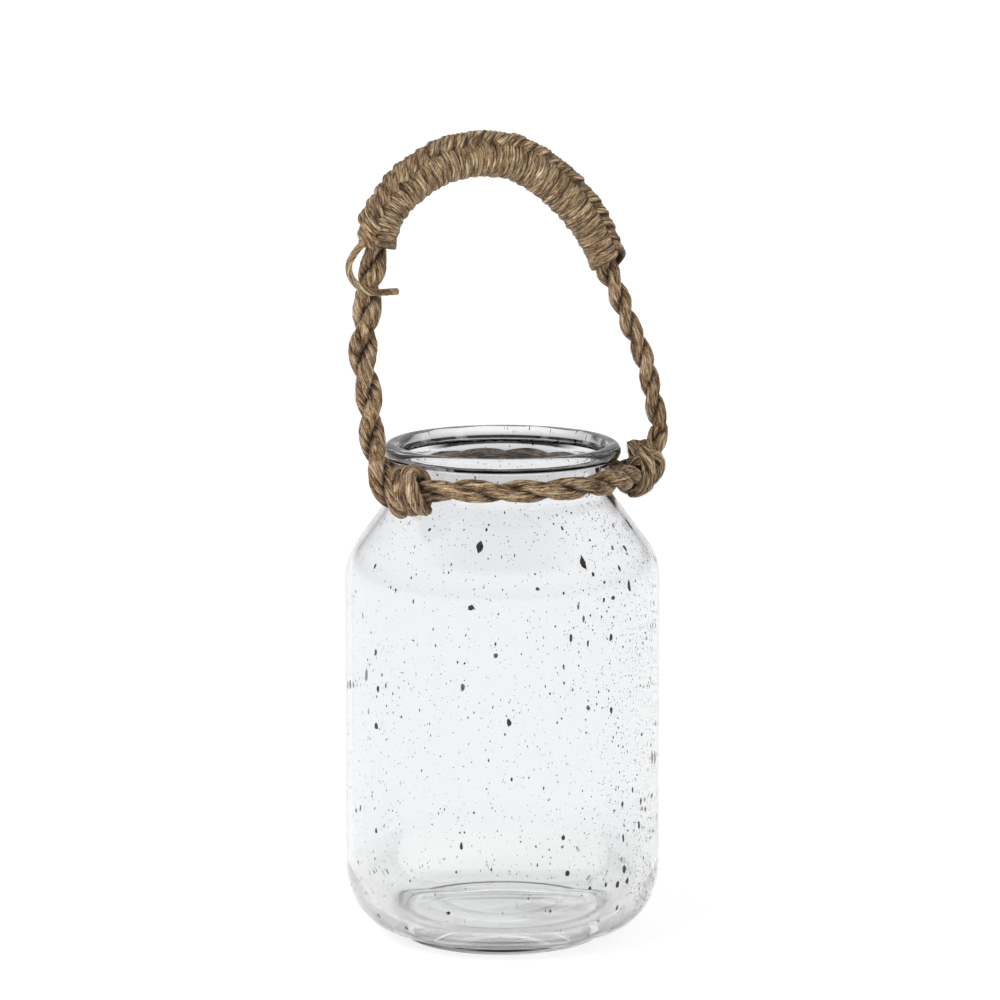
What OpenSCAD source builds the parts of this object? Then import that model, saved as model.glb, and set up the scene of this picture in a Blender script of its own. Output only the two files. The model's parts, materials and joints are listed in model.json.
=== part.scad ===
// Hanging lantern: a blown glass jar carried by a rope collar and a rope bail.
// Millimetres, +Z up, origin on the jar's axis at the plane it stands on.

/* [Jar] */
// Outer radius of the jar's body
body_r = 80; // [72:0.5:100]
// Height of the middle of the rim bead
rim_z = 250; // [235:1:320]
// Outer radius of the neck
neck_r = 55; // [48:0.5:60]
// Radius of the rolled rim bead's section
bead_r = 4.2; // [3.6:0.1:5.5]
// Thickness of the blown wall
wall_t = 3.3; // [2.4:0.1:4.5]
// Radius of the round that opens the shoulder
shoulder_round = 32; // [22:1:40]
// Slope of the shoulder, in degrees from upright
shoulder_slope = 36; // [30:1:42]
// Radius of the hollow between shoulder and neck
neck_fillet = 6; // [3:0.5:9]
// Height of the straight neck above the shoulder
neck_h = 21; // [19:0.5:30]
// Width of the round between wall and foot
corner_w = 24; // [16:1:28]
// Height of the round between wall and foot
corner_h = 31; // [22:1:40]

/* [Base] */
// Outer radius of the foot ring
foot_r = 52; // [46:0.5:54]
// Height of the foot ring
foot_h = 5; // [3:0.5:8]
// Width of the ground face that the jar stands on
foot_face = 4; // [2:0.5:6]
// Height of the flat floor inside
floor_z = 12; // [11:0.5:20]
// Radius of the flat floor inside
floor_r = 56; // [44:0.5:60]
// Depth of the hollow under the base
punt_h = 4.5; // [2:0.5:6]

/* [Collar] */
// Thickness of one collar strand, measured out from the rope's middle
collar_strand = 6.1; // [5:0.1:7.5]
// Whole turns of lay round the neck
collar_turns = 8; // [6:1:11]
// Slack between the collar and the rim bead
collar_slack = 1; // [0.3:0.1:3]
// How far the knots hang below the rest of the collar
knot_drop = 3; // [2.5:0.1:6]

/* [Knots] */
// Place of the left knot round the neck, in degrees from +X
left_knot_at = 218; // [205:1:230]
// Place of the right knot round the neck, in degrees from +X
right_knot_at = 10; // [-5:1:25]
// Thickness of the knot's strands, on the side of the glass and away from it
knot_flat = 5.2; // [4:0.1:6]
// Thickness of the knot's strands above and below the collar
knot_full = 7.2; // [6:0.1:8]
// Width of one strand of the knot
knot_w = 7.2; // [5.5:0.1:7.6]

/* [Bail] */
// Height of the bail's crown above its feet
bail_rise = 164; // [140:1:200]
// Lean of the bail, so that its crown is above the jar's axis
bail_lean = 8; // [0:0.5:12]
// Thickness of one strand at the left foot
left_foot_strand = 6.8; // [5.5:0.1:7]
// Thickness of one strand where the left leg meets the grip
left_leg_strand = 7.8; // [6:0.1:8.4]
// Thickness of one strand under the grip's yarn
grip_strand = 6.2; // [5:0.1:7.2]
// Thickness of one strand of the right leg
right_leg_strand = 5.6; // [5:0.1:6.6]
// Length of one turn of lay in the left leg
left_lay_l = 44; // [36:1:56]
// Length of one turn of lay in the right leg
right_lay_l = 30; // [26:1:44]

/* [Grip] */
// Number of half hitches round the crown
hitches = 27; // [20:1:27]
// Thickness of the hitched yarn on the rope
hitch_t = 2.6; // [2:0.1:3.4]
// Length of the left leg below the grip
left_leg_l = 124; // [115:1:135]
// Length of the right leg below the grip
right_leg_l = 106; // [98:1:116]
// Thickness of the ridge where the hitches cross
ridge_t = 3; // [2:0.1:4]
// Width of one link of the ridge
ridge_w = 4.5; // [3.6:0.1:4.8]
// Thickness of the loose end of yarn
tail_d = 3.5; // [3:0.1:4]

/* [Hidden] */

glass = [0.90, 0.94, 0.93, 0.35];
jute = [0.60, 0.49, 0.35];
jute_shade = [0.50, 0.40, 0.28];
yarn = [0.66, 0.55, 0.41];

seat = 0.25;          // gap between two pieces that touch
strand_gap = 0.2;     // gap between the two strands of a rope
oval = 1.15;          // width of a strand over its thickness
rope_sides = 8;
yarn_sides = 6;

// ---- lists and curves ------------------------------------------------------

function arc(centre, r, from, to, steps) =
    [for (i = [0:steps]) let (a = from + (to - from) * i / steps)
        centre + r * [cos(a), sin(a)]];
function oval_arc(centre, rx, ry, from, to, steps) =
    [for (i = [0:steps]) let (a = from + (to - from) * i / steps)
        centre + [rx * cos(a), ry * sin(a)]];

// A smooth curve through points, with n steps between two of them
function blend(a, b, c, d, t) =
    (2 * b + (c - a) * t + (2 * a - 5 * b + 4 * c - d) * t * t
        + (3 * b - a - 3 * c + d) * t * t * t) / 2;
function smooth(p, n) =
    [for (i = [0:len(p) - 2], j = [0:n - 1])
        blend(p[max(i - 1, 0)], p[i], p[i + 1], p[min(i + 2, len(p) - 1)], j / n),
     p[len(p) - 1]];
// Length along a list of points, up to each one
function runs(p) =
    [for (i = 0, s = 0; i < len(p); i = i + 1, s = s + (i < len(p) ? norm(p[i] - p[i - 1]) : 0)) s];

// A tube through rings of points; the first and last ring are closed with a flat face
module tube(rings, loop = false) {
    m = len(rings[0]);
    n = len(rings);
    last = loop ? n - 1 : n - 2;
    sides = [for (i = [0:last], j = [0:m - 1])
        let (a = i * m + j, b = i * m + (j + 1) % m,
             c = ((i + 1) % n) * m + (j + 1) % m, d = ((i + 1) % n) * m + j)
        each [[a, d, c], [a, c, b]]];
    caps = loop ? [] : [[for (j = [0:m - 1]) j], [for (j = [m - 1:-1:0]) (n - 1) * m + j]];
    polyhedron([for (r = rings) each r], concat(sides, caps));
}
// Share of a tube's full thickness near its two ends, so that they are round
function rounded(s, length, r) =
    let (d = min(s, length - s)) d >= r ? 1 : sqrt(max(0.12, 1 - pow(1 - d / r, 2)));
// Stations along a tube: close together at the round ends, even between them
function stations(length, r, steps) =
    [0, 0.35 * r, for (i = [0:steps]) r + (length - 2 * r) * i / steps, length - 0.35 * r, length];

// ---- jar -------------------------------------------------------------------

inner_r = body_r - wall_t;
bead_at = neck_r - wall_t + bead_r;
neck_z = rim_z - neck_h;                       // where shoulder and neck would meet
arc_drop = shoulder_round * (1 - cos(shoulder_slope));
shoulder_z = neck_z - (body_r - arc_drop - neck_r) / tan(shoulder_slope)
    - shoulder_round * sin(shoulder_slope);    // where the body ends
fillet_up = neck_fillet * tan(shoulder_slope / 2);
inner_round = shoulder_round - wall_t;
inner_fillet = neck_fillet + wall_t;
corner_at = [body_r - corner_w, foot_h + corner_h];
floor_corner = [floor_r, corner_at.y + wall_t];
foot_edge = 2.5;                               // round at the foot ring's lower edge
step_round = 1.2;                              // small round in the step above the foot ring
punt_r = foot_r - foot_face - foot_edge;       // radius of the hollow under the base
punt_round = (punt_r * punt_r + punt_h * punt_h) / (2 * punt_h);
punt_angle = asin(punt_r / punt_round);

module jar_outline() {
    outside = concat(
        arc([foot_r - foot_edge, foot_edge], foot_edge, -90, 0, 5),
        arc([foot_r + step_round, foot_h - step_round], step_round, 180, 90, 2),
        oval_arc(corner_at, corner_w, corner_h, -90, 0, 16),
        arc([body_r - shoulder_round, shoulder_z], shoulder_round, 0, shoulder_slope, 10),
        arc([neck_r + neck_fillet, neck_z + fillet_up], neck_fillet, 180 + shoulder_slope, 180, 4));
    bead_foot = acos((neck_r - bead_at) / bead_r);
    bead = arc([bead_at, rim_z], bead_r, -bead_foot, 180, 22);
    inside = concat(
        arc([neck_r + neck_fillet, neck_z + fillet_up], inner_fillet, 180, 180 + shoulder_slope, 4),
        arc([body_r - shoulder_round, shoulder_z], inner_round, shoulder_slope, 0, 8),
        oval_arc(floor_corner, inner_r - floor_r, floor_corner.y - floor_z, 0, -90, 14));
    under = [for (i = [0:8]) let (a = punt_angle * i / 8)
        [punt_round * sin(a), punt_h - punt_round * (1 - cos(a))]];
    polygon(concat(outside, bead, inside, [[0, floor_z]], under));
}

module glass_jar() {
    color(glass) rotate_extrude($fn = 96) jar_outline();
}

// ---- collar: two strands laid round the neck ---------------------------------

strand_out = collar_strand + strand_gap / 2;   // half the collar rope's thickness
ring_r = neck_r + seat + strand_out;
ring_z = rim_z - bead_r - collar_slack - strand_out;
core_gap = 0.15;                               // gap between the collar and the turns of a knot
core_r = strand_out + core_gap;                // inside radius of a knot's turns
knot_r = neck_r + seat + knot_flat + core_r;
swell_angle = 32;                              // the collar swells out this far each side of a knot
squeeze = 0.06;                                // how much a knot squeezes the collar

function turn_to(a, b) = (a - b + 540) % 360 - 180;
function near(a, at) =
    let (d = abs(turn_to(a, at))) d < swell_angle ? pow(cos(90 * d / swell_angle), 2) : 0;
function swell(a) = near(a, left_knot_at) + near(a, right_knot_at);
function collar_point(a) =
    [(ring_r + (knot_r - ring_r) * swell(a)) * cos(a),
     (ring_r + (knot_r - ring_r) * swell(a)) * sin(a),
     ring_z - knot_drop * swell(a)];

// One point on a laid strand's skin, from the middle of the rope
function strand_skin(lay, half, side) =
    let (away = half + strand_gap / 2 + half * cos(side), across = oval * half * sin(side))
    [away * cos(lay) - across * sin(lay), away * sin(lay) + across * cos(lay)];

module collar_strand(phase) {
    steps = collar_turns * 11;
    tube([for (i = [0:steps - 1])
        let (a = 360 * i / steps, lay = phase + a * collar_turns,
             half = collar_strand / 2 * (1 - squeeze * swell(a)))
        [for (j = [0:rope_sides - 1])
            let (p = strand_skin(lay, half, 360 * j / rope_sides))
            collar_point(a) + [-p.x * cos(a), -p.x * sin(a), p.y]]], loop = true);
}

module collar_strand_a() { color(jute) collar_strand(0); }
module collar_strand_b() { color(jute_shade) collar_strand(180); }

// ---- knots: both strands of the rope lie side by side and turn once round the collar ----

leg_press = 0.14;     // how fast the leg's pressure grows behind the knot's middle
// Half a strand's thickness: less where the glass or the bail's leg presses it
function knot_half(up, at, along) =
    let (room = (norm([collar_point(at).x, collar_point(at).y]) - neck_r - seat - core_r) / 2,
         flat = cos(up) < 0 ? min(room, knot_flat / 2) : knot_flat / 2 - leg_press * max(0, -along))
    flat + (knot_full / 2 - flat) * pow(sin(up), 2);

// The rope's way round the collar: angle round it, length along the neck, lift off the collar
left_way = [
    [4, -6.2, 0], [-30, -6.2, 0], [-62, -5.9, 0], [-92, -5.0, 0], [-130, -2.4, 0],
    [-180, 0.6, 0], [-230, 3.6, 0], [-270, 6.4, 0.4], [-305, 8.6, 1.2],
    [-340, 10.4, 1], [-375, 11.6, 0.6], [-410, 12.2, 0.2], [-440, 12.2, 0], [-465, 11.6, 0]];
right_way = [
    [4, -6.2, 0], [-30, -6.2, 0], [-62, -5.9, 0], [-92, -5.0, 0], [-130, -2.4, 0],
    [-180, 0.6, 0], [-225, 3.2, 0], [-258, 5.0, 1.4], [-288, 6.2, 4],
    [-318, 7.6, 2.6], [-345, 9.0, 0.8], [-375, 10.4, 0.2], [-405, 11.4, 0], [-435, 11.4, 0]];

module knot_strand(at, side, way, place) {
    pts = smooth(way, 3);
    n = len(pts) - 1;
    tube([for (k = [0:n])
        let (up = pts[k].x, along = pts[k].y + place * (knot_w + strand_gap) / 2,
             a = at + side * along / knot_r * 180 / PI, half = knot_half(up, a, along),
             tip = rounded(k, n, 2), mid = core_r + pts[k].z + half)
        [for (j = [0:rope_sides - 1])
            let (b = -360 * j / rope_sides, out = mid + half * tip * cos(b),
                 turn = a + knot_w / 2 * tip * sin(b) / knot_r * 180 / PI)
            collar_point(turn) + [out * cos(up) * cos(turn), out * cos(up) * sin(turn), out * sin(up)]]]);
}

module knot(at, side, way) {
    knot_strand(at, side, way, -1);
    knot_strand(at, side, way, 1);
}

module left_knot() { color(jute) knot(left_knot_at, 1, left_way); }
module right_knot() { color(jute_shade) knot(right_knot_at, -1, right_way); }

// ---- bail: two strands laid up from knot to knot --------------------------------

left_eye = collar_point(left_knot_at);
right_eye = collar_point(right_knot_at);
bail_mid = (left_eye + right_eye) / 2;
bail_across = (right_eye - left_eye) / norm(right_eye - left_eye);
bail_front = [bail_across.y, -bail_across.x, 0];
bail_up = [0, 0, cos(bail_lean)] - sin(bail_lean) * bail_front;
bail_face = [0, 0, sin(bail_lean)] + cos(bail_lean) * bail_front;
knot_skew = 1.4;      // room for the knots, which lie askew to the bail
knot_side = norm(right_eye - left_eye) / 2 + core_r + knot_flat + knot_skew + seat;
left_foot = knot_side + oval * left_foot_strand / 2;
right_foot = knot_side + oval * right_leg_strand / 2;

// The bail's middle line, across in shares of each foot's distance and up in shares of bail_rise
bail_line = [
    [-1.00, -0.02], [-1.00, 0.00], [-1.005, 0.03], [-1.01, 0.07], [-1.00, 0.12], [-0.975, 0.17],
    [-0.955, 0.23], [-0.95, 0.29], [-0.96, 0.38], [-0.95, 0.46], [-0.92, 0.54], [-0.90, 0.61],
    [-0.87, 0.67], [-0.83, 0.74], [-0.78, 0.82], [-0.67, 0.89], [-0.53, 0.94], [-0.37, 0.98],
    [-0.22, 0.995], [-0.06, 1.00], [0.12, 0.98], [0.29, 0.935], [0.44, 0.87], [0.54, 0.81],
    [0.61, 0.755], [0.67, 0.69], [0.72, 0.62], [0.77, 0.565], [0.83, 0.48], [0.89, 0.41],
    [0.945, 0.32], [0.98, 0.22], [1.01, 0.14], [1.015, 0.08], [1.005, 0.04], [1.00, 0.00],
    [1.00, -0.02]];

bail_pts = smooth([for (p = bail_line) [p.x * (p.x < 0 ? left_foot : right_foot), p.y * bail_rise]], 8);
bail_run = runs(bail_pts);
bail_l = bail_run[len(bail_run) - 1];
across_at = [for (i = [0:len(bail_run) - 1]) [bail_run[i], bail_pts[i].x]];
up_at = [for (i = [0:len(bail_run) - 1]) [bail_run[i], bail_pts[i].y]];
function bail_at(s) = [lookup(s, across_at), lookup(s, up_at)];
function bail_way(s) =
    let (d = bail_at(min(s + 3, bail_l)) - bail_at(max(s - 3, 0))) d / norm(d);
function bail_bend(s) =
    let (a = bail_way(max(s - 6, 0)), b = bail_way(min(s + 6, bail_l))) norm(b - a) / 12;
// A point by the bail: out from the loop, front towards the bail's face
function by_bail(s, out, front, along = 0) =
    let (p = bail_at(s), w = bail_way(s), q = p + out * [-w.y, w.x] + along * w)
    bail_mid + q.x * bail_across + q.y * bail_up + front * bail_face;

grip_from = left_leg_l;
grip_to = bail_l - right_leg_l;
hitch_l = (grip_to - grip_from) / hitches;

strand_size = [
    [0, left_foot_strand], [12, left_foot_strand], [grip_from - 12, left_leg_strand],
    [grip_from - 2, grip_strand], [grip_to + 2, grip_strand], [grip_to + 10, right_leg_strand],
    [bail_l, right_leg_strand]];
lay_rate = [
    [0, 360 / left_lay_l], [grip_from, 360 / left_lay_l], [grip_to, 360 / right_lay_l],
    [bail_l, 360 / right_lay_l]];
strand_steps = 104;
strand_stops = stations(bail_l, grip_strand / 2, strand_steps);
// The lay starts with the strands side by side across the bail's face
strand_lay = [for (i = 0, a = 90; i < len(strand_stops); i = i + 1,
    a = a + (i < len(strand_stops)
        ? (strand_stops[i] - strand_stops[i - 1])
            * lookup((strand_stops[i] + strand_stops[i - 1]) / 2, lay_rate) : 0)) a];

module bail_strand(phase) {
    tube([for (i = [0:len(strand_stops) - 1])
        let (s = strand_stops[i], half = lookup(s, strand_size) / 2,
             tip = rounded(s, bail_l, grip_strand / 2), lay = strand_lay[i] + phase)
        [for (j = [0:rope_sides - 1])
            let (p = strand_skin(lay, half, 360 * j / rope_sides),
                 c = (half + strand_gap / 2) * [cos(lay), sin(lay)], q = c + tip * (p - c))
            by_bail(s, q.x, q.y)]]);
}

module bail_strand_a() { color(jute) bail_strand(0); }
module bail_strand_b() { color(jute_shade) bail_strand(180); }

// ---- grip: half hitches round the crown, crossing on a ridge ----------------------

hitch_in = grip_strand + strand_gap / 2 + seat;    // inside radius of the hitches
hitch_out = hitch_in + hitch_t;
hitch_steps = 14;
// The ridge starts towards the bail's face and runs out to the crown's outer edge
function ridge_turn(s) = lookup((s - grip_from) / (grip_to - grip_from), [[0, 46], [0.35, 12], [1, 4]]);

module grip_hitches() {
    steps = hitches * hitch_steps;
    length = grip_to - grip_from - hitch_l;
    start = -30;                                     // the yarn starts behind the loop's outer side
    mid = hitch_in + hitch_t / 2;
    crown = hitch_t / 2 / sin(360 / yarn_sides);     // the section's corners reach the full thickness
    half_w = length / hitches / 2 - seat / 2;
    color(yarn) tube([for (i = [0:steps])
        let (s = grip_from + hitch_l / 2 + length * i / steps, a = start + 360 * i / hitch_steps,
             bent = 1 + bail_bend(s) * mid * cos(a), tip = rounded(i, steps, 2.5))
        [for (j = [0:yarn_sides - 1])
            let (b = 360 * j / yarn_sides, out = mid + crown * tip * sin(b))
            by_bail(s, out * cos(a), out * sin(a), half_w * bent * tip * cos(b))]]);
}

// One crossing, which slants over the gap between two hitches and tapers at its ends
module ridge_link(s) {
    taper = [0.35, 0.85, 1, 0.85, 0.35];
    steps = len(taper) - 1;
    reach = 1.3 * hitch_l;
    mid = hitch_out + seat + ridge_t / 2;
    steep = 48;                                      // angle between a link and the grip's length
    slant = reach * tan(steep) / mid * 180 / PI;
    tube([for (k = [0:steps])
        let (t = k / steps - 0.5, at = s + reach * t, a = ridge_turn(s) - slant * t, tip = taper[k])
        [for (j = [0:yarn_sides - 1])
            let (b = 360 * j / yarn_sides, out = mid + ridge_t / 2 * tip * cos(b),
                 wide = ridge_w / 2 * tip * sin(b), beside = wide * cos(steep))
            by_bail(at, out * cos(a) - beside * sin(a), out * sin(a) + beside * cos(a),
                wide * sin(steep))]]);
}

module grip_ridge() {
    color(yarn) for (i = [1:hitches - 1]) ridge_link(grip_from + hitch_l * i);
}

// ---- loose end of the hitched yarn -------------------------------------------------

// Its middle line by the left leg: length up the bail, out from the loop, towards the face
tail_line = [
    [126.5, 9.7, 5.6], [124.5, 10.8, 5.8], [121.5, 12.6, 5.9], [118, 14.2, 6.0], [114.5, 15.0, 5.9],
    [111, 14.2, 5.9], [108, 12.2, 6.2], [105.8, 9.4, 7.0], [104.2, 6.4, 8.0], [103.4, 3.2, 8.6],
    [103.5, 0.0, 8.7], [103.9, -3.2, 8.5], [104.5, -6.4, 8.0], [105.2, -9.6, 7.3], [106, -13.0, 6.6]];

module yarn_tail() {
    pts = [for (p = tail_line) by_bail(p.x, p.y, p.z)];
    color(yarn) tube([for (i = [0:len(pts) - 1])
        let (way = pts[min(i + 1, len(pts) - 1)] - pts[max(i - 1, 0)], t = way / norm(way),
             side = cross(t, bail_face), e = side / norm(side), f = cross(t, e))
        [for (j = [0:rope_sides - 1]) let (b = 360 * j / rope_sides)
            pts[i] + tail_d / 2 * (cos(b) * e + sin(b) * f)]]);
}

glass_jar();
collar_strand_a();
collar_strand_b();
left_knot();
right_knot();
bail_strand_a();
bail_strand_b();
grip_hitches();
grip_ridge();
yarn_tail();
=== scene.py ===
import json
import math
import random

import bmesh
import bpy
import numpy as np
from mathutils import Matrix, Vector


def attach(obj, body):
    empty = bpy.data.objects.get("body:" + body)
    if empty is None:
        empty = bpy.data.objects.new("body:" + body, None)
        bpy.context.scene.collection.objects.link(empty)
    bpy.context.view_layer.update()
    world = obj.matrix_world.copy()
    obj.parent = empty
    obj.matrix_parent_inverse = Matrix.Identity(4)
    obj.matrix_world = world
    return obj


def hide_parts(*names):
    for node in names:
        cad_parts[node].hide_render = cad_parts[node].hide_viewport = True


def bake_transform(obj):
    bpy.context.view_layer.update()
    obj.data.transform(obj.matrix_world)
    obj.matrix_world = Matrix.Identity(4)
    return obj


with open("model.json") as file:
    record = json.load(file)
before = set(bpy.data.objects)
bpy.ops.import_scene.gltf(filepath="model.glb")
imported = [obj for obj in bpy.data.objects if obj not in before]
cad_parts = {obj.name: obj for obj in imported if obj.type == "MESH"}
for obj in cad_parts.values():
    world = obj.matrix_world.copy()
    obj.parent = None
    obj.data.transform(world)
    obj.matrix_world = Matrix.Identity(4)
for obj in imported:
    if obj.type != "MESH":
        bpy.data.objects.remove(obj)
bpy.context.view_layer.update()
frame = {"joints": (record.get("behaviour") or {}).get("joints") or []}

scene = bpy.context.scene
print("frame loaded")

# camera, at a viewer's height and some way off

camera = dict(place=(-0.0012, -2.400, 0.6294), aim=(-0.0012, 0.0, 0.2242), lens=172.97)


def makeCamera(given):
    data = bpy.data.cameras.new("camera")
    data.lens = given["lens"]
    made = bpy.data.objects.new("camera", data)
    scene.collection.objects.link(made)
    made.location = given["place"]
    made.rotation_mode = "QUATERNION"
    made.rotation_quaternion = (Vector(given["aim"]) - made.location).to_track_quat("-Z", "Y")
    scene.camera = made


makeCamera(camera)
print("camera made")

# shaders: a socket that can be used in sums


class Wire:
    def __init__(self, tree, socket=None):
        self.tree, self.socket = tree, socket

    def node(self, kind, settings=None, values=None, out=0):
        made = self.tree.nodes.new("ShaderNode" + kind)
        for name, value in (settings or {}).items():
            if name == "stops":
                while len(made.color_ramp.elements) < len(value):
                    made.color_ramp.elements.new(0.5)
                for stop, (place, colour) in zip(made.color_ramp.elements, value):
                    stop.position, stop.color = place, colour
            else:
                setattr(made, name, value)
        for name, value in (values or {}).items():
            if isinstance(value, Wire):
                self.tree.links.new(value.socket, made.inputs[name])
            else:
                made.inputs[name].default_value = value
        return Wire(self.tree, made.outputs[out] if made.outputs else None)

    def sum(self, operation, a, b=0.0):
        return self.node("Math", {"operation": operation}, {0: a, 1: b})

    def __add__(self, other):
        return self.sum("ADD", self, other)

    def __sub__(self, other):
        return self.sum("SUBTRACT", self, other)

    def __rsub__(self, other):
        return self.sum("SUBTRACT", other, self)

    def __mul__(self, other):
        return self.sum("MULTIPLY", self, other)

    def __pow__(self, other):
        return self.sum("POWER", self, other)

    __radd__, __rmul__ = __add__, __mul__

    def held(self, low, high):
        return self.node("MapRange", {}, {"Value": self, "From Min": low, "From Max": high})

    def blend(self, a, b):                       # this wire is the share of b
        return self.node("Mix", {"data_type": "RGBA"}, {0: self, 6: a, 7: b}, 2)


def startMaterial(name):
    made = bpy.data.materials.new(name)
    made.use_nodes = True
    made.node_tree.nodes.clear()
    return made, Wire(made.node_tree)


def endMaterial(start, values):
    skin = start.node("BsdfPrincipled", {}, values)
    start.node("OutputMaterial", {}, {"Surface": skin})


def juteFinish(name, look):
    made, start = startMaterial(name)
    lay = start.node("UVMap", {"uv_map": "lay"})
    groove = start.node("Attribute", {"attribute_name": "groove"}, out=2)
    tint = start.node("Attribute", {"attribute_name": "tint"}, out=2)

    def streaks(alongRope, acrossRope, detail):
        place = start.node("Mapping", {}, {"Vector": lay, "Scale": (alongRope, acrossRope, 1)})
        return start.node("TexNoise", {}, {"Vector": place, "Scale": 1.0, "Detail": detail,
                                           "Roughness": 0.6})

    fibre = streaks(look["fibreAlong"], look["fibreAcross"], 2)
    bundle = streaks(look["bundleAlong"], look["bundleAcross"], 1)
    fleck = start.node("TexNoise", {}, {"Vector": start.node("TexCoord", {}, {}, 3), "Scale": look["fleck"],
                                        "Detail": 2.0, "Roughness": 0.7})
    level = fibre * 0.42 + bundle * 0.25 + fleck * 0.33 + tint * look["tint"]
    level = level.held(look["low"], look["high"])
    colour = start.node("ValToRGB", {"stops": look["tones"]}, {0: level})
    # painted shade: the crevices between bundles, strands and yarns are darkened towards the crevice colour
    shade = (groove * look["groove"]).held(0, 1)
    colour = shade.blend(colour, look["crevice"])
    bump = start.node("Bump", {}, {"Strength": 0.7, "Distance": look["relief"],
                                   "Height": fibre * 0.5 + bundle * 0.2 + fleck * 0.3})
    endMaterial(start, {"Base Color": colour, "Normal": bump, "Roughness": 0.85,
                        "Specular IOR Level": 0.25, "Sheen Weight": 0.12, "Sheen Roughness": 0.5})
    return made


def tone(red, green, blue):                      # screen values to a linear colour
    return tuple(pow(v / 255, 2.2) for v in (red, green, blue)) + (1,)


jute = dict(
    fibreAlong=420, fibreAcross=2600, bundleAlong=150, bundleAcross=900, fleck=1100, relief=0.0006,
    # the last two set how strong and how dark the painted shade in the crevices is
    low=0.34, high=0.67, tint=0.26, groove=1.0, crevice=tone(50, 34, 23),
    tones=[(0.0, tone(76, 53, 37)), (0.3, tone(150, 118, 87)), (0.6, tone(198, 166, 128)),
           (1.0, tone(246, 222, 186))])
yarnLook = dict(jute, fibreAcross=2600, tint=0.16, tones=[
    (0.0, tone(86, 62, 44)), (0.3, tone(160, 129, 96)), (0.6, tone(206, 175, 135)),
    (1.0, tone(246, 224, 186))])
stray = dict(count=170, length=(0.006, 0.014), lift=0.0012, lean=0.5, thick=0.00011)
ropeFinish = juteFinish("jute rope", jute)
yarnFinish = juteFinish("jute yarn", yarnLook)

# shapes shared by the ropes and yarns


def smoothLine(points, steps):                   # a smooth curve through the points
    p = np.array(points, float)
    p = np.vstack([p[:1], p, p[-1:]])
    t = (np.arange(steps) / steps)[:, None]
    made = [(2 * b + (c - a) * t + (2 * a - 5 * b + 4 * c - d) * t ** 2
             + (3 * b - a - 3 * c + d) * t ** 3) / 2 for a, b, c, d in zip(p, p[1:], p[2:], p[3:])]
    return np.vstack(made + [p[-1:]])


def runOf(line):
    return np.concatenate([[0], np.cumsum(np.linalg.norm(np.diff(line, axis=0), axis=1))])


def along(line, run, stops):
    return np.stack([np.interp(stops, run, line[:, k]) for k in range(line.shape[1])], 1)


def unit(v):
    return v / np.linalg.norm(v, axis=-1, keepdims=True)


def grain(x, y, seed, around=0):                 # smooth random heights, from -1 to 1
    x, y = np.broadcast_arrays(x, y)
    left, low = np.floor(x).astype(int), np.floor(y).astype(int)

    def corner(dx, dy):
        row = (low + dy) % around if around else low + dy
        h = np.sin((left + dx) * 127.1 + row * 311.7 + seed * 74.7) * 43758.5453
        return (h - np.floor(h)) * 2 - 1

    u, v = x - left, y - low
    u, v = u * u * (3 - 2 * u), v * v * (3 - 2 * v)
    below = corner(0, 0) * (1 - u) + corner(1, 0) * u
    above = corner(0, 1) * (1 - u) + corner(1, 1) * u
    return below * (1 - v) + above * v


def roundEnds(run, radius):                      # share of the full thickness near the two ends
    near = np.clip(np.minimum(run, run[-1] - run) / radius, 0, 1)
    return np.sqrt(np.maximum(0.02, 1 - (1 - near) ** 2))


class Skin:                                      # gathers tubes and becomes one mesh
    def __init__(self, name):
        self.name, self.points, self.faces, self.lay = name, [], [], []
        self.groove, self.tint, self.count = [], [], 0

    def tube(self, rings, run, turn, groove, tint, loop=False):
        n, m = rings.shape[:2]
        self.points.append(rings.reshape(-1, 3))
        self.groove.append(np.broadcast_to(groove, (n, m)).ravel())
        self.tint.append(np.broadcast_to(tint, (n, m)).ravel())
        rows = np.arange(n if loop else n - 1)
        i, j = [a.ravel() for a in np.meshgrid(rows, np.arange(m), indexing="ij")]
        ahead, beside = (i + 1) % n, (j + 1) % m
        self.faces += (np.stack([i * m + j, i * m + beside, ahead * m + beside, ahead * m + j], 1)
                       + self.count).tolist()
        step = run[1] - run[0]
        u = np.stack([run[i], run[i], run[i] + step, run[i] + step], 1)
        v = np.stack([turn[i, j], turn[i, j] + turn[i, 1] - turn[i, 0],
                      turn[ahead, j] + turn[ahead, 1] - turn[ahead, 0], turn[ahead, j]], 1)
        self.lay.append(np.stack([u, v], 2).reshape(-1, 2))
        if not loop:
            for first, ring in ((self.count, range(m - 1, -1, -1)), (self.count + (n - 1) * m, range(m))):
                self.faces.append([first + k for k in ring])
                self.lay.append(np.zeros((m, 2)))
        self.count += n * m

    def done(self, finish, body, nodes=(), bend=None):
        mesh = bpy.data.meshes.new(self.name)
        mesh.from_pydata(np.vstack(self.points).tolist(), [], self.faces)
        mesh.uv_layers.new(name="lay").data.foreach_set("uv", np.vstack(self.lay).ravel())
        for name, values in (("groove", self.groove), ("tint", self.tint)):
            mesh.attributes.new(name, "FLOAT", "POINT").data.foreach_set("value", np.concatenate(values))
        mesh.shade_smooth()
        mesh.materials.append(finish)
        made = bpy.data.objects.new(self.name, mesh)
        scene.collection.objects.link(made)
        if bend:                                 # a piece given a bend is baked in place and not attached to a body
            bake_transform(made)
        else:
            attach(made, body)
        if nodes:
            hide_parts(*nodes)
        return made


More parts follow.
